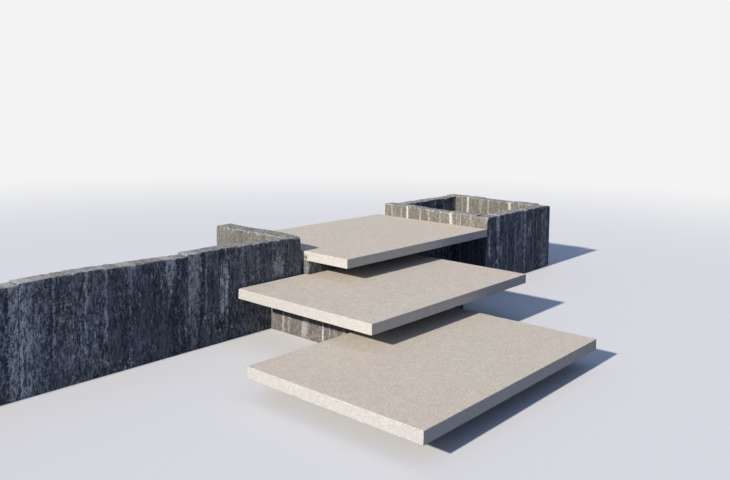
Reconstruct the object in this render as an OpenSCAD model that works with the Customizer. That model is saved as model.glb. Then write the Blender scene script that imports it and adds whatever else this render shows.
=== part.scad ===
// Outdoor stone steps: three wide step slabs that climb from the left front to the right back. Each slab
// reaches out over the upright stones that carry it. A retaining wall of the same stones stands on the left
// and an open planter on the right.
// X runs along the slabs, Y runs from the lowest front edge towards the terrace, Z is up from the ground.

/* [Step slabs] */
// Length of the low and the middle slab
slab_length = 1500; // [1300:10:1700]
// Length of the top slab, which reaches from the return wall's gap to the planter
top_slab_length = 1545; // [1300:5:1700]
// Depth of the low and the middle slab, front to back
slab_depth = 1000; // [900:10:1100]
// Depth of the top slab, front to back
top_slab_depth = 1060; // [1000:10:1200]
// Thickness of every slab
slab_thickness = 58; // [40:1:80]
// Width of the small chamfer along a slab's edges
arris = 3; // [1:0.5:6]
// Height of the low slab's top above the ground
first_rise = 148; // [130:1:170]
// Height of the second and the third step
rise = 141; // [130:1:170]
// How far each slab lies to the right of the one below it
side_step = 530; // [400:5:600]
// How far the middle slab's front lies behind the low slab's front
middle_setback = 706; // [600:1:800]
// How far the top slab's front lies behind the middle slab's front
top_setback = 647; // [600:1:800]

/* [Upright stones] */
// Thickness of an upright stone
stone = 100; // [80:5:120]
// Width of the open joint between two stones
joint = 2; // [1:0.5:8]
// How far a plinth stands in from its slab's left and right ends
end_inset = 260; // [150:1:300]
// How far the low plinth stands in from the low slab's front
front_inset = 294; // [200:1:350]
// How far the riser under the top slab stands in front of the wall's face
riser_proud = 47; // [25:1:70]

/* [Left wall] */
// Open joint between the middle slab's back edge and the wall's face
wall_gap = 12; // [4:1:20]
// Thickness of the return wall, a little more than the other stones'
return_stone = 120; // [80:5:140]
// Gap between the return wall and the top slab
return_gap = 16; // [4:1:40]
// Height of the return wall's top above the top slab
return_rise = 98; // [50:1:150]
// Width of the first bay, next to the return wall
bay_1_width = 725; // [500:5:1000]
// Height of the first bay's top above the top slab
bay_1_rise = 103; // [50:1:150]
// Width of the second bay
bay_2_width = 905; // [500:5:1000]
// Height of the second bay's top above the top slab
bay_2_rise = 104; // [50:1:150]
// Width of the third bay
bay_3_width = 800; // [500:5:1000]
// Height of the third bay's top above the top slab
bay_3_rise = 94; // [50:1:150]
// Width of the fourth bay
bay_4_width = 800; // [500:5:1000]
// Height of the fourth bay's top above the top slab
bay_4_rise = 100; // [50:1:150]

/* [Planter] */
// Width of the planter across its front
planter_width = 988; // [800:1:1200]
// Depth of the planter, front to back
planter_depth = 988; // [900:1:1100]
// Distance from the planter's left face to the joint in its front and its back
front_joint = 601; // [400:1:700]
// Distance from the planter's front face to the joint in its sides
side_joint = 625; // [400:1:700]
// Height of the wider front and back stones above the top slab
planter_wide_rise = 90; // [50:1:150]
// Height of the narrower front and back stones above the top slab
planter_narrow_rise = 96; // [50:1:150]
// Height of the front side stones above the top slab
planter_side_front_rise = 93; // [50:1:150]
// Height of the rear side stones above the top slab
planter_side_rear_rise = 98; // [50:1:150]

/* [Hidden] */

slab_colour = [0.78, 0.74, 0.70];
upright_colour = [0.36, 0.36, 0.38];

// Left ends and fronts of the middle and the top slab, from the low slab's front left corner
middle_x = side_step;
middle_y = middle_setback;
top_x = 2 * side_step;
top_y = middle_setback + top_setback;
terrace_y = top_y + top_slab_depth;

// Heights of the slabs' tops, and of their undersides
low_top = first_rise;
middle_top = low_top + rise;
top_top = middle_top + rise;
low_bed = low_top - slab_thickness;
middle_bed = middle_top - slab_thickness;
top_bed = top_top - slab_thickness;

// The wall's face stands just behind the middle slab, and the return wall runs back from it
wall_face = middle_y + slab_depth + wall_gap;
return_x = top_x - return_gap - return_stone;
bay_widths = [bay_1_width, bay_2_width, bay_3_width, bay_4_width];
bay_rises = [bay_1_rise, bay_2_rise, bay_3_rise, bay_4_rise];
function bay_end(i) = i == 0 ? return_x : bay_end(i - 1) - bay_widths[i - 1];
wall_end = bay_end(4);

planter_x = top_x + top_slab_length;
planter_end = planter_x + planter_width;
planter_back = top_y + planter_depth;

// The model's origin is on the ground, under the middle of its outer box
centre_x = (wall_end + planter_end) / 2;
centre_y = terrace_y / 2;

module place(x, y, z) {
    translate([x - centre_x, y - centre_y, z]) children();
}

// Outline of a slab's edge, chamfered at its corners, of the given width
module edge_profile(width) {
    top = slab_thickness;
    polygon([[arris, 0], [width - arris, 0], [width, arris], [width, top - arris],
             [width - arris, top], [arris, top], [0, top - arris], [0, arris]]);
}

// A step slab: the overlap of its front outline and its side outline
module slab(length, depth) {
    color(slab_colour)
    intersection() {
        translate([0, depth, 0])
        rotate([90, 0, 0])
        linear_extrude(depth)
        edge_profile(length);
        rotate([90, 0, 90])
        linear_extrude(length)
        edge_profile(depth);
    }
}

// An upright stone, of the given size along X, Y and Z
module upright(length, depth, height) {
    color(upright_colour)
    cube([length, depth, height]);
}

module slab_low() {
    place(0, 0, low_bed) slab(slab_length, slab_depth);
}

module slab_middle() {
    place(middle_x, middle_y, middle_bed) slab(slab_length, slab_depth);
}

module slab_top() {
    place(top_x, top_y, top_bed) slab(top_slab_length, top_slab_depth);
}

// The low plinth is a ring of four strips, with its back flush with the slab's back
low_plinth_length = slab_length - 2 * end_inset;
low_plinth_side = slab_depth - front_inset - 2 * stone;

module low_plinth_front() {
    place(end_inset, front_inset, 0) upright(low_plinth_length, stone, low_bed);
}

module low_plinth_back() {
    place(end_inset, slab_depth - stone, 0) upright(low_plinth_length, stone, low_bed);
}

module low_plinth_left() {
    place(end_inset, front_inset + stone, 0) upright(stone, low_plinth_side, low_bed);
}

module low_plinth_right() {
    place(slab_length - end_inset - stone, front_inset + stone, 0) upright(stone, low_plinth_side, low_bed);
}

// The middle plinth starts behind the low slab and ends at the wall
middle_plinth_start = slab_depth;
middle_plinth_depth = wall_face - middle_plinth_start;
middle_plinth_left_x = middle_x + end_inset;
middle_plinth_right_x = middle_x + slab_length - end_inset - stone;

module middle_plinth_front() {
    place(middle_plinth_left_x + stone, middle_plinth_start, 0)
    upright(middle_plinth_right_x - middle_plinth_left_x - stone, stone, middle_bed);
}

module middle_plinth_left() {
    place(middle_plinth_left_x, middle_plinth_start, 0) upright(stone, middle_plinth_depth, middle_bed);
}

module middle_plinth_right() {
    place(middle_plinth_right_x, middle_plinth_start, 0) upright(stone, middle_plinth_depth, middle_bed);
}

// The riser stands on the middle slab's back edge and on the support behind it
riser_y = wall_face - riser_proud;

module top_riser() {
    place(top_x, riser_y, middle_top)
    upright(middle_x + slab_length - top_x, stone, rise - slab_thickness);
}

// The supports reach from the return wall to the planter. The side support stands in line with the riser,
// beside the middle slab, and the front support stands behind the slab's back edge
support_x = return_x + return_stone + joint;
support_end = planter_x - joint;
side_support_x = middle_x + slab_length + joint;
rear_support_length = (support_end - support_x - joint) / 2;

module top_front_support() {
    place(support_x, wall_face, 0) upright(side_support_x - joint - support_x, stone, middle_top);
}

module top_side_support() {
    place(side_support_x, riser_y, 0) upright(support_end - side_support_x, stone, top_bed);
}

module top_rear_support_left() {
    place(support_x, terrace_y - stone, 0) upright(rear_support_length, stone, top_bed);
}

module top_rear_support_right() {
    place(support_end - rear_support_length, terrace_y - stone, 0)
    upright(rear_support_length, stone, top_bed);
}

module return_wall() {
    place(return_x, wall_face, 0) upright(return_stone, terrace_y - wall_face, top_top + return_rise);
}

// Bay number of the retaining wall, counted from the return wall
module wall_panel(number) {
    place(bay_end(number), wall_face, 0)
    upright(bay_widths[number - 1] - joint, stone, top_top + bay_rises[number - 1]);
}

// The planter's front stones reach from corner to corner. The side stones start behind them and run to the
// back face, two on each side, and the back stones stand between the sides
side_start = top_y + stone + joint;
front_side_depth = side_joint - joint / 2 - stone - joint;
rear_side_depth = planter_depth - side_joint - joint / 2;
inner_x = planter_x + stone + joint;
inner_end = planter_end - stone - joint;
wide_end = planter_x + front_joint - joint / 2;
narrow_start = wide_end + joint;

module planter_side_front(x) {
    place(x, side_start, 0) upright(stone, front_side_depth, top_top + planter_side_front_rise);
}

module planter_side_rear(x) {
    place(x, planter_back - rear_side_depth, 0)
    upright(stone, rear_side_depth, top_top + planter_side_rear_rise);
}

module planter_left_front() {
    planter_side_front(planter_x);
}

module planter_left_rear() {
    planter_side_rear(planter_x);
}

module planter_right_front() {
    planter_side_front(planter_end - stone);
}

module planter_right_rear() {
    planter_side_rear(planter_end - stone);
}

module planter_front_left() {
    place(planter_x, top_y, 0) upright(wide_end - planter_x, stone, top_top + planter_wide_rise);
}

module planter_front_right() {
    place(narrow_start, top_y, 0)
    upright(planter_end - narrow_start, stone, top_top + planter_narrow_rise);
}

module planter_back_left() {
    place(inner_x, planter_back - stone, 0)
    upright(wide_end - inner_x, stone, top_top + planter_wide_rise);
}

module planter_back_right() {
    place(narrow_start, planter_back - stone, 0)
    upright(inner_end - narrow_start, stone, top_top + planter_narrow_rise);
}

slab_low();
slab_middle();
slab_top();
low_plinth_front();
low_plinth_back();
low_plinth_left();
low_plinth_right();
middle_plinth_front();
middle_plinth_left();
middle_plinth_right();
top_riser();
top_front_support();
top_side_support();
top_rear_support_left();
top_rear_support_right();
return_wall();
wall_panel(1);  // wall_panel_1
wall_panel(2);  // wall_panel_2
wall_panel(3);  // wall_panel_3
wall_panel(4);  // wall_panel_4
planter_left_front();
planter_left_rear();
planter_front_left();
planter_front_right();
planter_right_front();
planter_right_rear();
planter_back_left();
planter_back_right();
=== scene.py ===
import math

import bmesh
import bpy
from mathutils import Matrix, Vector, noise


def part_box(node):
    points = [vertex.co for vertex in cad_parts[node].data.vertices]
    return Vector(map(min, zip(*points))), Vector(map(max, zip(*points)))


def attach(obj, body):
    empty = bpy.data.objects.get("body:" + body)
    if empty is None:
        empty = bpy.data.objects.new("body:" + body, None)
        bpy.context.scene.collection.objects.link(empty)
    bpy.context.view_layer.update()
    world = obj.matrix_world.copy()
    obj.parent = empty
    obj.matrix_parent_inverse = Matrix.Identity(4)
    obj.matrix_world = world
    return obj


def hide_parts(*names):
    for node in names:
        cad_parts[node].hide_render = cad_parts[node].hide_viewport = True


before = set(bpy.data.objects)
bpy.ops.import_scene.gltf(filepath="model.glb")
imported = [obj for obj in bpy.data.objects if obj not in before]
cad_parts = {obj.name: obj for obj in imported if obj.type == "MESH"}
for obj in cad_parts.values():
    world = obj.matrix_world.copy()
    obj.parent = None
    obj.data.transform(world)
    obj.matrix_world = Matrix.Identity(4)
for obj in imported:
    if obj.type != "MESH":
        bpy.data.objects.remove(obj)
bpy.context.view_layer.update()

# Step slabs. Three wide slabs of pale cast stone with a fine, even grain, sawn square with a narrow worn
# arris. They lie by their own weight on the upright stones, and reach out over them at the front and left.
slab_cells = (0.014, 0.014, 0.010)
slab_borders = (0.0010, 0.0024, 0.0050, 0.0100)
slab_arris = 0.0022
# The treads go from a rosy to a plain sand colour, which the blue fill light cools to a pale grey. The
# sawn sides are a creamy grey, and painted shade turns the undersides and the fronts a dark grey
tread_rose = (0.694, 0.568, 0.438, 1.0)
tread_sand = (0.664, 0.581, 0.434, 1.0)
sawn_cream = (0.510, 0.485, 0.440, 1.0)
painted_shade_grey = (0.16, 0.18, 0.215, 1.0)
slab_light = (0.82, 0.78, 0.72, 1.0)
slab_dark = (0.44, 0.40, 0.35, 1.0)
slab_pore = (0.26, 0.23, 0.20, 1.0)
hollow_dark = (0.11, 0.105, 0.095, 1.0)
# How strongly painted shade darkens each slab's front
slab_front_painted_shade = {"slab_low": 0.05, "slab_middle": 0.22, "slab_top": 0.15}
# Knocked-off spots: place from the slab's low front left corner, reach and extra rounding, in metres
slab_knocks = {
    "slab_low": [((0.0, 0.40, 0.058), 0.018, 0.004), ((1.50, 0.5865, 0.058), 0.020, 0.005)],
    "slab_middle": [((0.0, 1.0, 0.058), 0.018, 0.004), ((0.7335, 0.0, 0.0), 0.016, 0.005)],
    "slab_top": [((0.0, 0.3315, 0.058), 0.018, 0.011)],
}
# A hollow where a flake has come away in the top slab's left end, painted dark, placed from the same corner
hollow_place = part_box("slab_top")[0] + Vector((0.0, 0.3535, 0.018))
hollow_reach = 0.016
hollow_depth = 0.010


def add_node(tree, kind, sockets=(), **settings):
    """A shader node with its settings, and its sockets joined or given a value."""
    node = tree.nodes.new(kind)
    for setting, value in settings.items():
        setattr(node, setting, value)
    for socket, value in dict(sockets).items():
        if isinstance(value, bpy.types.NodeSocket):
            tree.links.new(value, node.inputs[socket])
        else:
            node.inputs[socket].default_value = value
    return node


def grain_noise(tree, place, scale, detail=2.0, roughness=0.5, distortion=0.0):
    sockets = {"Vector": place, "Scale": scale, "Detail": detail}
    sockets.update({"Roughness": roughness, "Distortion": distortion})
    return add_node(tree, "ShaderNodeTexNoise", sockets).outputs["Fac"]


def ease(tree, value, start, end, low=0.0, high=1.0):
    """Goes smoothly from low to high while the value goes from start to end."""
    sockets = {"Value": value, "From Min": start, "From Max": end, "To Min": low, "To Max": high}
    return add_node(tree, "ShaderNodeMapRange", sockets, interpolation_type="SMOOTHSTEP").outputs["Result"]


def times(tree, first, second):
    return add_node(tree, "ShaderNodeMath", {0: first, 1: second}, operation="MULTIPLY").outputs[0]


def plus(tree, first, second):
    return add_node(tree, "ShaderNodeMath", {0: first, 1: second}, operation="ADD").outputs[0]


def tint(tree, amount, first, second):
    """The first colour, turned into the second by the amount."""
    sockets = {0: amount, 6: first, 7: second}
    return add_node(tree, "ShaderNodeMix", sockets, data_type="RGBA").outputs[2]


def new_material(name, roughness, gloss):
    material = bpy.data.materials.new(name)
    material.use_nodes = True
    shader = material.node_tree.nodes["Principled BSDF"]
    shader.inputs["Roughness"].default_value = roughness
    shader.inputs["Specular IOR Level"].default_value = gloss
    return material, material.node_tree, shader


def cast_stone():
    material, tree, shader = new_material("pale_cast_stone", 0.85, 0.2)
    place = add_node(tree, "ShaderNodeTexCoord").outputs["Object"]
    tread = add_node(tree, "ShaderNodeAttribute", attribute_name="tread").outputs["Fac"]
    painted_shade = add_node(tree, "ShaderNodeAttribute", attribute_name="painted_shade").outputs["Fac"]
    cloud = grain_noise(tree, place, 3.2, 3.0, 0.55)
    mottle = grain_noise(tree, place, 26.0, 4.0, 0.6)
    speckle = grain_noise(tree, place, 150.0, 2.0, 0.6)
    grain = grain_noise(tree, place, 360.0, 2.0, 0.6)
    pores = grain_noise(tree, place, 175.0, 1.0, 0.5)
    worn = tint(tree, ease(tree, cloud, 0.36, 0.64), tread_rose, tread_sand)
    colour = tint(tree, tread, sawn_cream, worn)
    uneven = ease(tree, tread, 0.0, 1.0, 0.35, 1.0)
    colour = tint(tree, times(tree, ease(tree, mottle, 0.50, 0.66, 0.0, 0.27), uneven), colour, slab_light)
    colour = tint(tree, times(tree, ease(tree, mottle, 0.48, 0.34, 0.0, 0.21), uneven), colour, slab_dark)
    bright = times(tree, ease(tree, speckle, 0.52, 0.68), ease(tree, tread, 0.0, 1.0, 0.40, 0.80))
    dull = times(tree, ease(tree, speckle, 0.46, 0.32), ease(tree, tread, 0.0, 1.0, 0.55, 0.80))
    colour = tint(tree, bright, colour, slab_light)
    colour = tint(tree, dull, colour, slab_dark)
    colour = tint(tree, ease(tree, grain, 0.54, 0.70, 0.0, 0.35), colour, slab_light)
    colour = tint(tree, ease(tree, grain, 0.46, 0.30, 0.0, 0.35), colour, slab_dark)
    colour = tint(tree, ease(tree, pores, 0.34, 0.27, 0.0, 0.6), colour, slab_pore)
    # Painted shade: the undersides and the fronts are tinted dark grey
    colour = tint(tree, times(tree, painted_shade, ease(tree, mottle, 0.30, 0.60, 1.0, 0.85)), colour, painted_shade_grey)
    # The hollow is painted darker towards its middle
    from_hollow = add_node(tree, "ShaderNodeVectorMath", {0: place, 1: hollow_place}, operation="DISTANCE")
    near = plus(tree, from_hollow.outputs["Value"], times(tree, pores, 0.6 * hollow_reach))
    colour = tint(tree, ease(tree, near, 1.4 * hollow_reach, 0.8 * hollow_reach), colour, hollow_dark)
    height = plus(tree, times(tree, grain, 0.6), ease(tree, pores, 0.26, 0.36))
    bump = add_node(tree, "ShaderNodeBump", {"Strength": 0.4, "Distance": 0.0007, "Height": height})
    tree.links.new(colour, shader.inputs["Base Color"])
    tree.links.new(bump.outputs["Normal"], shader.inputs["Normal"])
    return material


def block(low, high, cells, borders):
    """A block cut into an even grid, with closer lines along every edge."""
    bm = bmesh.new()
    bmesh.ops.create_cube(bm, size=1.0)
    bmesh.ops.scale(bm, vec=high - low, verts=bm.verts)
    bmesh.ops.translate(bm, vec=(low + high) / 2, verts=bm.verts)
    for axis in range(3):
        across = Vector([float(axis == other) for other in range(3)])
        for border in borders:
            for at in (low[axis] + border, high[axis] - border):
                parts = bm.verts[:] + bm.edges[:] + bm.faces[:]
                bmesh.ops.bisect_plane(bm, geom=parts, plane_co=across * at, plane_no=across)
        inner = high[axis] - low[axis] - 2 * borders[-1]
        cuts = round(inner / cells[axis]) - 1
        if cuts > 0:
            longest = [e for e in bm.edges if abs(e.verts[0].co[axis] - e.verts[1].co[axis]) > 0.9 * inner]
            bmesh.ops.subdivide_edges(bm, edges=longest, cuts=cuts)
    return bm


def wear(bm, low, high, rounding, relief, mark=None):
    """Rounds a block's edges by rounding(place), and sinks its faces by relief(place, outward)."""
    for vert in bm.verts:
        place = vert.co.copy()
        radius = rounding(place)
        core = Vector([min(max(place[i], low[i] + radius), high[i] - radius) for i in range(3)])
        outward = (place - core).normalized()
        vert.co = core + outward * (radius - relief(place, outward))
        if mark:
            mark(vert, place, outward, radius)


def finish_stone(bm, name, node, material):
    """Makes the block a piece that stands for its CAD node and takes the node's finish."""
    mesh = bpy.data.meshes.new(name)
    bm.to_mesh(mesh)
    bm.free()
    mesh.polygons.foreach_set("use_smooth", [True] * len(mesh.polygons))
    mesh.materials.append(material)
    piece = bpy.data.objects.new(name, mesh)
    bpy.context.scene.collection.objects.link(piece)
    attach(piece, "root")
    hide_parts(node)
    return piece


def make_slab(node, material):
    low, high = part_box(node)
    knocks = [(low + Vector(spot), reach, extra) for spot, reach, extra in slab_knocks[node]]

    def rounding(place):
        chip = max(0.0, noise.noise(place * 26.0) - 0.42)
        radius = slab_arris + 0.0007 * noise.noise(place * 60.0) + 0.010 * chip
        for spot, reach, extra in knocks:
            radius += extra * math.exp(-((place - spot).length / reach) ** 2)
        return radius

    def relief(place, outward):
        hollow = hollow_depth * math.exp(-((place - hollow_place).length / hollow_reach) ** 2)
        grain = 0.0004 * (1.0 + noise.noise(place * 9.0)) + 0.0002 * (1.0 + noise.noise(place * 45.0))
        return hollow + grain

    bm = block(low, high, slab_cells, slab_borders)
    tread_layer = bm.verts.layers.float.new("tread")
    painted_shade_layer = bm.verts.layers.float.new("painted_shade")

    def mark(vert, place, outward, radius):
        vert[tread_layer] = max(0.0, outward.z)
        # Painted shade covers the undersides fully and each front by its slab's amount
        vert[painted_shade_layer] = max(0.0, -outward.z, -slab_front_painted_shade[node] * outward.y)

    wear(bm, low, high, rounding, relief, mark)
    finish_stone(bm, node + "_cast", node, material)


pale_stone = cast_stone()
for slab in ("slab_low", "slab_middle", "slab_top"):
    make_slab(slab, pale_stone)

# Low plinth. A ring of four low strips of dark gneiss, split along its layers, that carries the low slab
# well inside its edges. The strips stand on the ground and butt together at the corners.
split_cells = (0.006, 0.010, 0.012)
split_borders = (0.0012, 0.0038, 0.0090)
# Sizes of a split face's ledges, shelves and ribs along, through and up the stone, and their depths
ledge_size = (0.13, 0.06, 0.24)
shelf_size = (0.040, 0.03, 0.11)
rib_size = (0.014, 0.012, 0.07)
ledge_depth = 0.0012
shelf_depth = 0.0008
rib_depth = 0.0005
# Roughness from which a top counts as fully hewn
full_hewn = 0.002
# Painted light and shade: bluer colours for the faces in shade, and lighter, warmer ones for the faces the
# sun falls on
shaded_deep = (0.034, 0.037, 0.047, 1.0)
shaded_body = (0.148, 0.158, 0.188, 1.0)
shaded_pale = (0.76, 0.78, 0.78, 1.0)
sunlit_deep = (0.113, 0.101, 0.082, 1.0)
sunlit_body = (0.254, 0.231, 0.191, 1.0)
sunlit_pale = (0.60, 0.587, 0.535, 1.0)
# Pale of the chips, also used for painted highlights on the edges and painted light on the tops
hewn_pale_and_highlight = (0.50, 0.50, 0.475, 1.0)


def vein_mask(tree, across, height, start, vein):
    """Marks one upright vein: (distance from the start, half width, wander, strength, lowest, highest)."""
    centre, half, wander, strength, lowest, highest = vein
    offset = plus(tree, across, -start - centre)
    for scale, amount in ((9.0, 1.4), (31.0, 0.7), (83.0, 0.35)):
        rise = plus(tree, times(tree, height, scale), 40.0 * centre + scale)
        bend = add_node(tree, "ShaderNodeTexNoise", {"W": rise, "Scale": 1.0}, noise_dimensions="1D")
        offset = plus(tree, offset, times(tree, plus(tree, bend.outputs[0], -0.5), amount * wander))
    swell = add_node(tree, "ShaderNodeTexNoise", {"W": rise, "Scale": 1.3}, noise_dimensions="1D")
    width = plus(tree, times(tree, swell.outputs[0], 1.6 * half), 0.2 * half)
    distance = add_node(tree, "ShaderNodeMath", {0: offset}, operation="ABSOLUTE").outputs[0]
    ratio = add_node(tree, "ShaderNodeMath", {0: distance, 1: width}, operation="DIVIDE").outputs[0]
    mask = ease(tree, ratio, 0.6, 1.35, strength, 0.0)
    mask = times(tree, mask, ease(tree, height, lowest - 0.04, lowest + 0.04))
    return times(tree, mask, ease(tree, height, highest - 0.04, highest + 0.04, 1.0, 0.0))


def gneiss(name, run=0, start=0.0, veins=()):
    """Layered stone with upright streaks. It is finer across the stone's layers than along its run."""
    material, tree, shader = new_material(name, 0.9, 0.08)
    place = add_node(tree, "ShaderNodeTexCoord").outputs["Object"]
    stretches = [(1.0, 2.4, rise) if run == 0 else (2.4, 1.0, rise) for rise in (0.11, 0.36)]
    layered = add_node(tree, "ShaderNodeMapping", {"Vector": place, "Scale": stretches[0]}).outputs[0]
    broken = add_node(tree, "ShaderNodeMapping", {"Vector": place, "Scale": stretches[1]}).outputs[0]
    bands = grain_noise(tree, layered, 9.0, 3.0, 0.6, 0.4)
    streaks = grain_noise(tree, layered, 44.0, 4.0, 0.7, 0.7)
    flecks = grain_noise(tree, broken, 72.0, 3.0, 0.65, 0.4)
    hairs = grain_noise(tree, broken, 180.0, 3.0, 0.7, 0.3)
    spots = grain_noise(tree, broken, 95.0, 2.0, 0.6, 0.6)
    blotches = grain_noise(tree, place, 60.0, 3.0, 0.7, 0.5)
    specks = grain_noise(tree, place, 130.0, 2.0, 0.6, 0.4)
    patches = grain_noise(tree, place, 5.5, 3.0, 0.6, 0.3)
    grain = grain_noise(tree, place, 430.0, 2.0, 0.6)
    chip = add_node(tree, "ShaderNodeAttribute", attribute_name="chip").outputs["Fac"]
    painted_light = add_node(tree, "ShaderNodeAttribute", attribute_name="painted_light").outputs["Fac"]

    # Painted light and shade: faces marked as sunlit take the lighter, warmer colours, and the rest the
    # bluer shaded ones
    deep = tint(tree, painted_light, shaded_deep, sunlit_deep)
    body = tint(tree, painted_light, shaded_body, sunlit_body)
    pale = tint(tree, painted_light, shaded_pale, sunlit_pale)
    fine = tint(tree, times(tree, painted_light, 0.8), flecks, blotches)
    spots = tint(tree, times(tree, painted_light, 0.8), spots, specks)
    layers = plus(tree, times(tree, bands, 0.21), times(tree, streaks, 0.19))
    tone = tint(tree, times(tree, painted_light, 0.4), layers, times(tree, fine, 0.40))
    tone = plus(tree, tone, times(tree, fine, 0.26))
    tone = plus(tree, tone, times(tree, hairs, 0.34))
    spread = times(tree, painted_light, 0.03)
    tone = ease(tree, tone, plus(tree, 0.44, times(tree, spread, -1.0)), plus(tree, 0.56, spread))
    colour = tint(tree, tone, deep, body)
    pits = times(tree, painted_light, ease(tree, specks, 0.43, 0.33, 0.0, 0.55))
    colour = tint(tree, pits, colour, deep)
    speckle = times(tree, ease(tree, flecks, 0.55, 0.67), ease(tree, patches, 0.40, 0.62, 0.04, 0.42))
    colour = tint(tree, times(tree, speckle, ease(tree, hairs, 0.38, 0.58, 0.4, 1.0)), colour, pale)
    crystals = times(tree, ease(tree, spots, 0.59, 0.67), ease(tree, patches, 0.42, 0.66, 0.12, 0.75))
    colour = tint(tree, crystals, colour, pale)
    if veins:
        parts = add_node(tree, "ShaderNodeSeparateXYZ", {"Vector": place}).outputs
        seam = 0.0
        for vein in veins:
            mask = vein_mask(tree, parts[run], parts[2], start, vein)
            seam = add_node(tree, "ShaderNodeMath", {0: mask, 1: seam}, operation="MAXIMUM").outputs[0]
        flecked = ease(tree, flecks, 0.42, 0.54, 0.22, 1.0)
        flecked = times(tree, flecked, ease(tree, hairs, 0.40, 0.54, 0.35, 1.2))
        clean = ease(tree, hairs, 0.38, 0.52, 0.50, 1.0)
        colour = tint(tree, times(tree, seam, tint(tree, painted_light, flecked, clean)), colour, pale)
    colour = tint(tree, ease(tree, grain, 0.60, 0.74, 0.0, 0.30), colour, pale)
    colour = tint(tree, ease(tree, grain, 0.42, 0.28, 0.0, 0.5), colour, deep)
    # Real chips turn pale, and so do the painted highlights on edges and tops that the chip mark carries
    chips_and_highlights = times(tree, chip, ease(tree, blotches, 0.44, 0.56, 0.20, 1.20))
    colour = tint(tree, times(tree, chips_and_highlights, ease(tree, grain, 0.30, 0.60, 0.4, 1.0)), colour, hewn_pale_and_highlight)
    height = plus(tree, times(tree, streaks, 1.0), times(tree, hairs, 0.7))
    height = plus(tree, height, times(tree, grain, 0.3))
    bump = add_node(tree, "ShaderNodeBump", {"Strength": 0.5, "Distance": 0.002, "Height": height})
    tree.links.new(colour, shader.inputs["Base Color"])
    tree.links.new(bump.outputs["Normal"], shader.inputs["Normal"])
    return material


plain_gneiss = [gneiss("gneiss_along", 0), gneiss("gneiss_across", 1)]


def limit(value):
    return min(1.0, max(0.0, value))


def level(profile, along):
    """The drop at a distance, read from a list of (distance, drop)."""
    if along <= profile[0][0]:
        return profile[0][1]
    for (left, first), (right, second) in zip(profile, profile[1:]):
        if along <= right:
            return first + (second - first) * (along - left) / (right - left)
    return profile[-1][1]


def split_stone(node, material=None, run=0, top=None, hewn=0.0, sun_side_paint=0.0, shade_line=0.0, knocks=()):
    """A riven stone. top lists (distance from its low end, drop of its top), hewn is the roughness of its
    top, and the next two give the painted sunlight on its left face and the height of painted shade under
    it."""
    low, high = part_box(node)
    seed = Vector((sum(map(ord, node)) * 0.37, 0.0, 0.0))
    top = top or [(0.0, 0.0)]
    hewn_share = limit(hewn / full_hewn)
    cells = split_cells if run == 0 else (split_cells[1], split_cells[0], split_cells[2])
    spots = [(Vector(spot), reach, extra) for spot, reach, extra in knocks]

    def stretched(place, along, through, up):
        sizes = (along, through, up) if run == 0 else (through, along, up)
        return Vector([place[i] / sizes[i] for i in range(3)]) + seed

    def rounding(place):
        rise = limit(1.0 - (high.z - place.z) / 0.03) * hewn_share
        chip = limit(1.8 * noise.noise(place * 34.0 + seed) - 0.1)
        flake = limit(1.6 * noise.noise(stretched(place, 0.02, 0.02, 0.06)) - 0.2)
        radius = 0.0012 + 0.0025 * flake + (0.0015 + 0.012 * chip) * rise
        for spot, reach, extra in spots:
            radius += extra * math.exp(-((place - spot).length / reach) ** 2)
        return radius

    def relief(place, outward):
        ledge = limit(0.5 + 3.0 * noise.noise(stretched(place, *ledge_size)))
        shelf = limit(0.5 + 3.0 * noise.noise(stretched(place, *shelf_size)))
        rib = 1.0 + noise.noise(stretched(place, *rib_size))
        depth = (1.0 - outward.z ** 2) * (ledge_depth * ledge + shelf_depth * shelf + rib_depth * rib)
        depth *= 1.0 - 0.85 * outward[run] ** 2
        if outward.z > 0.0:
            rough = 0.3 + 0.8 * noise.noise(place * 28.0 + seed) + 0.5 * noise.noise(place * 75.0 + seed)
            depth += outward.z ** 2 * hewn * max(0.0, rough)
        return depth

    bm = block(low, high, cells, split_borders)
    chip_and_highlight_layer = bm.verts.layers.float.new("chip")
    painted_light_layer = bm.verts.layers.float.new("painted_light")

    def mark(vert, place, outward, radius):
        # Painted light: the left face, which the sun falls on, and the hewn top take the sunlit colours;
        # below the shade line the left face keeps the shaded colours, as painted shade
        sun_side_light = sun_side_paint * limit(-1.2 * outward.x)
        if shade_line:
            sun_side_light *= limit((place.z - shade_line) / 0.03)
        top_light = limit(1.4 * outward.z) * hewn_share
        turned = 1.0 - max(abs(part) for part in outward)
        vert[painted_light_layer] = limit(sun_side_light + top_light)
        # Painted highlight: besides real chips, the chip mark lightens the arrises, most on the sun side
        # and the tops, and the tops as a whole
        arris = limit(5.0 * turned)
        edge_highlight = arris * limit((radius - 0.004) / 0.006) * limit(sun_side_light + top_light + 0.3)
        crest = limit(1.0 - (high.z - place.z) / 0.016) * hewn_share
        splinter = limit(3.5 * noise.noise(place * 55.0 + seed) + 0.1)
        vert[chip_and_highlight_layer] = max(edge_highlight, 0.40 * top_light, crest * splinter, 0.5 * arris * (0.4 + splinter))
        vert.co.z -= level(top, place[run] - low[run]) * (vert.co.z - low.z) / (high.z - low.z)

    wear(bm, low, high, rounding, relief, mark)
    finish_stone(bm, node + "_split", node, material or plain_gneiss[run])


for strip in ("low_plinth_front", "low_plinth_back"):
    split_stone(strip)
for strip in ("low_plinth_left", "low_plinth_right"):
    split_stone(strip, run=1)

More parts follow.
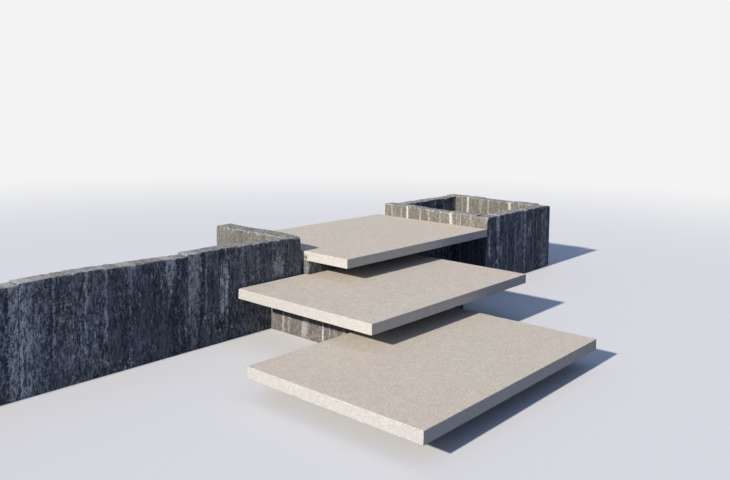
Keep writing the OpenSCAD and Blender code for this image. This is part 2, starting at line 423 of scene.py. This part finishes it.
# Middle plinth. Three gneiss stones that carry the middle slab. The left one catches the light, and painted
# sunlight makes it warm grey with cream seams, and the front one is set back in the shade between the two
# slabs.
# Each stone's seams are listed in the order that vein_mask reads them
plinth_veins = [
    (0.612, 0.008, 0.012, 0.50, 0.0, 0.3), (0.565, 0.007, 0.012, 0.25, 0.0, 0.3),
    (0.428, 0.024, 0.016, 0.45, 0.0, 0.3), (0.287, 0.006, 0.006, 0.90, 0.0, 0.3),
    (0.235, 0.005, 0.006, 0.40, 0.0, 0.3), (0.124, 0.010, 0.012, 0.40, 0.0, 0.3),
]
plinth_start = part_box("middle_plinth_left")[0].y
plinth_gneiss = gneiss("gneiss_plinth", 1, plinth_start, plinth_veins)
split_stone("middle_plinth_left", plinth_gneiss, run=1, sun_side_paint=0.75)
split_stone("middle_plinth_front")
split_stone("middle_plinth_right", run=1)

# Riser and supports. A gneiss strip fills the step between the middle and the top slab, and full-height
# stones beside it, behind it and at the back carry the rest of the top slab.
riser_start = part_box("top_riser")[0].x
riser_veins = [
    # Painted light: the two broad faint bands on the next line brighten the front near its left end, where
    # light reaches in under the top slab
    (0.030, 0.026, 0.010, 0.15, 0.0, 0.5), (0.105, 0.020, 0.010, 0.12, 0.0, 0.5),
    (0.300, 0.010, 0.010, 0.30, 0.0, 0.5),
]
riser_gneiss = gneiss("gneiss_riser", 0, riser_start, riser_veins)
# Its left end takes painted sunlight
split_stone("top_riser", riser_gneiss, sun_side_paint=0.46)
for support in ("top_front_support", "top_side_support", "top_rear_support_left", "top_rear_support_right"):
    split_stone(support)

# Left wall. Four panels of split gneiss set upright in the ground, side by side with open joints, and a
# return wall that runs back beside the top slab. The tops are hewn by hand and don't quite line up.
wall_veins = {
    "wall_panel_1": [
        (0.040, 0.036, 0.008, 0.44, 0.24, 0.60), (0.040, 0.020, 0.012, 0.20, 0.00, 0.26),
        (0.010, 0.006, 0.004, 0.70, 0.18, 0.60), (0.228, 0.012, 0.014, 0.75, 0.14, 0.43),
        (0.260, 0.011, 0.014, 0.90, 0.14, 0.45), (0.243, 0.024, 0.008, 0.40, 0.30, 0.45),
        (0.170, 0.009, 0.010, 0.45, 0.12, 0.20), (0.253, 0.005, 0.004, 0.70, 0.49, 0.60),
        (0.378, 0.010, 0.012, 0.28, 0.10, 0.60), (0.430, 0.007, 0.012, 0.20, 0.25, 0.60),
        (0.490, 0.009, 0.014, 0.26, 0.00, 0.60), (0.655, 0.038, 0.012, 0.32, 0.32, 0.46),
        (0.610, 0.008, 0.014, 0.24, 0.00, 0.40), (0.120, 0.006, 0.010, 0.22, 0.00, 0.60),
        # Painted light: this broad pale band at the foot, under the middle slab's overhang, stands in for
        # light thrown up from the ground
        (0.460, 0.125, 0.020, 0.24, -0.10, 0.20),
    ],
    "wall_panel_2": [
        (0.012, 0.009, 0.006, 0.88, 0.00, 0.60), (0.034, 0.028, 0.012, 0.62, 0.00, 0.60),
        (0.098, 0.040, 0.020, 0.30, 0.00, 0.60),
        (0.162, 0.007, 0.010, 0.45, 0.10, 0.60), (0.319, 0.110, 0.020, 0.20, 0.00, 0.60),
        (0.318, 0.009, 0.010, 0.60, 0.10, 0.60), (0.424, 0.009, 0.012, 0.60, 0.15, 0.60),
        (0.544, 0.040, 0.010, 0.45, 0.47, 0.60), (0.793, 0.032, 0.006, 0.60, 0.42, 0.60),
        (0.789, 0.014, 0.008, 0.55, 0.30, 0.46), (0.560, 0.009, 0.012, 0.28, 0.00, 0.60),
    ],
    "wall_panel_3": [
        (0.775, 0.024, 0.010, 0.60, 0.00, 0.60), (0.700, 0.040, 0.020, 0.18, 0.00, 0.60),
        (0.620, 0.014, 0.014, 0.40, 0.10, 0.60), (0.300, 0.024, 0.016, 0.45, 0.20, 0.60),
        (0.430, 0.100, 0.020, 0.16, 0.00, 0.60), (0.120, 0.008, 0.010, 0.45, 0.00, 0.60),
    ],
    "wall_panel_4": [
        (0.220, 0.024, 0.014, 0.50, 0.00, 0.60), (0.600, 0.014, 0.014, 0.45, 0.20, 0.60),
        (0.440, 0.008, 0.010, 0.45, 0.00, 0.60), (0.330, 0.090, 0.020, 0.16, 0.00, 0.60),
    ],
}
# The highs and lows of each hewn top, as (distance from its left end, drop)
wall_tops = {
    "wall_panel_1": [(0.0, 0.003), (0.25, 0.001), (0.40, 0.006), (0.72, 0.008)],
    "wall_panel_2": [(0.0, 0.005), (0.30, 0.0), (0.50, 0.006), (0.70, 0.010), (0.90, 0.016)],
    "wall_panel_3": [(0.0, 0.008), (0.2, 0.002), (0.45, 0.006), (0.6, 0.001), (0.796, 0.003)],
    "wall_panel_4": [(0.0, 0.010), (0.15, 0.004), (0.4, 0.008), (0.62, 0.002), (0.796, 0.006)],
}
wall_hewn = 0.002
# Painted sunlight on the left faces of the last panel and of the return wall
end_sun_paint = 0.8
for panel in wall_tops:
    panel_gneiss = gneiss("gneiss_" + panel, 0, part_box(panel)[0].x, wall_veins[panel])
    panel_sun_paint = end_sun_paint if panel == "wall_panel_4" else 0.0
    split_stone(panel, panel_gneiss, top=wall_tops[panel], hewn=wall_hewn, sun_side_paint=panel_sun_paint)
return_top = [(0.0, 0.002), (0.3, 0.0), (0.5, 0.006), (0.695, 0.003)]
return_low, return_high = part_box("return_wall")
# Its top corner at the front right is knocked off: place, reach and extra rounding
return_knocks = [((return_high.x, return_low.y, return_high.z), 0.090, 0.024)]
split_stone("return_wall", run=1, top=return_top, hewn=wall_hewn, sun_side_paint=end_sun_paint, knocks=return_knocks)

# Planter. A square ring of the same split stones, two to a side, open at the top and the bottom. Its left
# side is speckled and painted pale as sunlit above the top slab, with painted shade below it, and its front
# stands dark in the shade.
planter_hewn = 0.0025
# The highs and lows of each hewn top, as (distance from its front or left end, drop)
side_front_top = [(0.0, 0.001), (0.15, 0.0), (0.30, 0.005), (0.52, 0.002)]
side_rear_top = [(0.0, 0.003), (0.20, 0.0), (0.36, 0.002)]
wide_top = [(0.0, 0.006), (0.20, 0.001), (0.30, 0.004), (0.40, 0.0), (0.60, 0.004)]
narrow_top = [(0.0, 0.005), (0.10, 0.010), (0.25, 0.006), (0.38, 0.014)]
side_veins = [
    (0.227, 0.012, 0.010, 1.0, 0.0, 0.60), (0.139, 0.006, 0.008, 0.3, 0.0, 0.60),
    (0.049, 0.005, 0.006, 0.25, 0.0, 0.60), (0.330, 0.006, 0.008, 0.25, 0.0, 0.60),
    (0.440, 0.007, 0.008, 0.4, 0.0, 0.60), (0.517, 0.003, 0.001, 0.6, 0.0, 0.60),
]
rear_veins = [
    (0.129, 0.010, 0.008, 1.0, 0.0, 0.60), (0.002, 0.003, 0.001, 0.7, 0.0, 0.60),
    (0.190, 0.006, 0.008, 0.3, 0.0, 0.60), (0.290, 0.008, 0.010, 0.35, 0.0, 0.60),
]
wide_veins = [
    (0.158, 0.022, 0.014, 1.00, 0.35, 0.60), (0.160, 0.009, 0.018, 0.65, 0.0, 0.36),
    (0.041, 0.012, 0.010, 0.90, 0.20, 0.43), (0.206, 0.020, 0.010, 0.40, 0.18, 0.30),
    (0.254, 0.014, 0.006, 0.65, 0.47, 0.60), (0.359, 0.014, 0.006, 0.55, 0.48, 0.60),
    (0.575, 0.014, 0.006, 0.55, 0.0, 0.60), (0.535, 0.030, 0.010, 0.22, 0.25, 0.60),
    (0.420, 0.008, 0.012, 0.28, 0.0, 0.44), (0.300, 0.007, 0.012, 0.30, 0.0, 0.40),
]
narrow_veins = [
    (0.057, 0.010, 0.010, 0.85, 0.32, 0.40), (0.165, 0.008, 0.010, 0.65, 0.34, 0.41),
    (0.266, 0.009, 0.010, 0.65, 0.38, 0.46), (0.300, 0.050, 0.014, 0.22, 0.0, 0.60),
    (0.110, 0.010, 0.014, 0.24, 0.0, 0.60),
]
front_low, front_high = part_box("planter_front_left")
# Its top corner at the front left is knocked off: place, reach and extra rounding
front_knocks = [((front_low.x, front_low.y, front_high.z), 0.030, 0.016)]
side_gneiss = gneiss("gneiss_planter_side", 1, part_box("planter_left_front")[0].y, side_veins)
rear_gneiss = gneiss("gneiss_planter_rear", 1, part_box("planter_left_rear")[0].y, rear_veins)
wide_gneiss = gneiss("gneiss_planter_wide", 0, front_low.x, wide_veins)
narrow_gneiss = gneiss("gneiss_planter_narrow", 0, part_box("planter_front_right")[0].x, narrow_veins)
slab_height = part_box("slab_top")[0].z
for side in ("left", "right"):
    planter_shade_line = slab_height if side == "left" else 0.0
    split_stone(f"planter_{side}_front", side_gneiss, 1, side_front_top, planter_hewn, 1.0, planter_shade_line)
    split_stone(f"planter_{side}_rear", rear_gneiss, 1, side_rear_top, planter_hewn, 1.0, planter_shade_line)
split_stone("planter_front_left", wide_gneiss, 0, wide_top, planter_hewn, 1.0, slab_height, front_knocks)
split_stone("planter_front_right", narrow_gneiss, 0, narrow_top, planter_hewn)
split_stone("planter_back_left", wide_gneiss, 0, wide_top, planter_hewn)
split_stone("planter_back_right", narrow_gneiss, 0, narrow_top, planter_hewn)

# Stage. A plain pale floor that fades into the backdrop far from the steps, a low sun from the left with
# nearly sharp shadows, and a blue fill from all round. The camera sees the floor and the backdrop paler
# than they light the stones.
backdrop = (0.90, 0.90, 0.90, 1.0)
floor_pale = (0.82, 0.805, 0.775, 1.0)
floor_dim = (0.27, 0.288, 0.305, 1.0)
floor_size = 40.0
floor_drop = 0.0005
fade_start = 3.5
fade_end = 11.0
fill_blue = (0.455, 0.628, 1.075, 1.0)
fill_strength = 0.345
sun_warm = (1.0, 0.955, 0.90)
sun_strength = 4.6
sun_spread = math.radians(2.0)
towards_sun = Vector((-1.945, 0.0, 1.0))
floor_material, floor_tree, floor_shader = new_material("stage_floor", 0.9, 0.1)
floor_place = add_node(floor_tree, "ShaderNodeTexCoord").outputs["Object"]
floor_reach = add_node(floor_tree, "ShaderNodeVectorMath", {0: floor_place}, operation="LENGTH")
floor_rays = add_node(floor_tree, "ShaderNodeLightPath").outputs
floor_seen = plus(floor_tree, floor_rays["Is Camera Ray"], floor_rays["Is Glossy Ray"])
floor_seen = plus(floor_tree, floor_seen, floor_rays["Is Transmission Ray"])
floor_colour = tint(floor_tree, floor_seen, floor_dim, floor_pale)
floor_tree.links.new(floor_colour, floor_shader.inputs["Base Color"])
floor_glow = add_node(floor_tree, "ShaderNodeEmission", {"Color": backdrop, "Strength": 1.0}).outputs[0]
floor_far = ease(floor_tree, floor_reach.outputs["Value"], fade_start, fade_end)
floor_fade = times(floor_tree, floor_far, floor_seen)
floor_mix = add_node(floor_tree, "ShaderNodeMixShader",
                     {0: floor_fade, 1: floor_shader.outputs[0], 2: floor_glow}).outputs[0]
floor_tree.links.new(floor_mix, floor_tree.nodes["Material Output"].inputs["Surface"])
floor_mesh = bpy.data.meshes.new("stage_floor")
bm = bmesh.new()
bmesh.ops.create_grid(bm, x_segments=1, y_segments=1, size=floor_size)
bmesh.ops.translate(bm, vec=(0.0, 0.0, -floor_drop), verts=bm.verts)
bm.to_mesh(floor_mesh)
bm.free()
floor_mesh.materials.append(floor_material)
floor = bpy.data.objects.new("stage_floor", floor_mesh)
bpy.context.scene.collection.objects.link(floor)

world = bpy.data.worlds.new("studio")
world.use_nodes = True
bpy.context.scene.world = world
tree = world.node_tree
fill = tree.nodes["Background"]
fill.inputs["Color"].default_value = fill_blue
fill.inputs["Strength"].default_value = fill_strength
seen = add_node(tree, "ShaderNodeBackground", {"Color": backdrop, "Strength": 1.0}).outputs[0]
rays = add_node(tree, "ShaderNodeLightPath").outputs
direct = plus(tree, plus(tree, rays["Is Camera Ray"], rays["Is Glossy Ray"]), rays["Is Transmission Ray"])
both = add_node(tree, "ShaderNodeMixShader", {0: direct, 1: fill.outputs[0], 2: seen}).outputs[0]
tree.links.new(both, tree.nodes["World Output"].inputs["Surface"])

key_light = bpy.data.lights.new("key", "SUN")
key_light.energy = sun_strength
key_light.angle = sun_spread
key_light.color = sun_warm
key = bpy.data.objects.new("key", key_light)
key.matrix_world = towards_sun.to_track_quat("Z", "Y").to_matrix().to_4x4()
bpy.context.scene.collection.objects.link(key)

# Camera. It stands 1.34 m above the ground in front of the left wall and looks to the right and slightly
# down. Its place, turn, lens and vertical shift give the photo's framing.
eye = Vector((-2.8277, -2.8018, 1.3437))
heading = 0.7158
pitch = 0.0605
roll = 0.0136
camera_data = bpy.data.cameras.new("camera")
camera_data.sensor_width = 36.0
camera_data.lens = 37.04
camera_data.shift_y = -0.1233
camera = bpy.data.objects.new("camera", camera_data)
camera.matrix_world = (
    Matrix.Translation(eye)
    @ Matrix.Rotation(heading - math.pi / 2, 4, "Z")
    @ Matrix.Rotation(math.pi / 2 - pitch, 4, "X")
    @ Matrix.Rotation(roll, 4, "Z")
)
bpy.context.scene.collection.objects.link(camera)
bpy.context.scene.camera = camera
bpy.context.scene.view_settings.view_transform = "Standard"
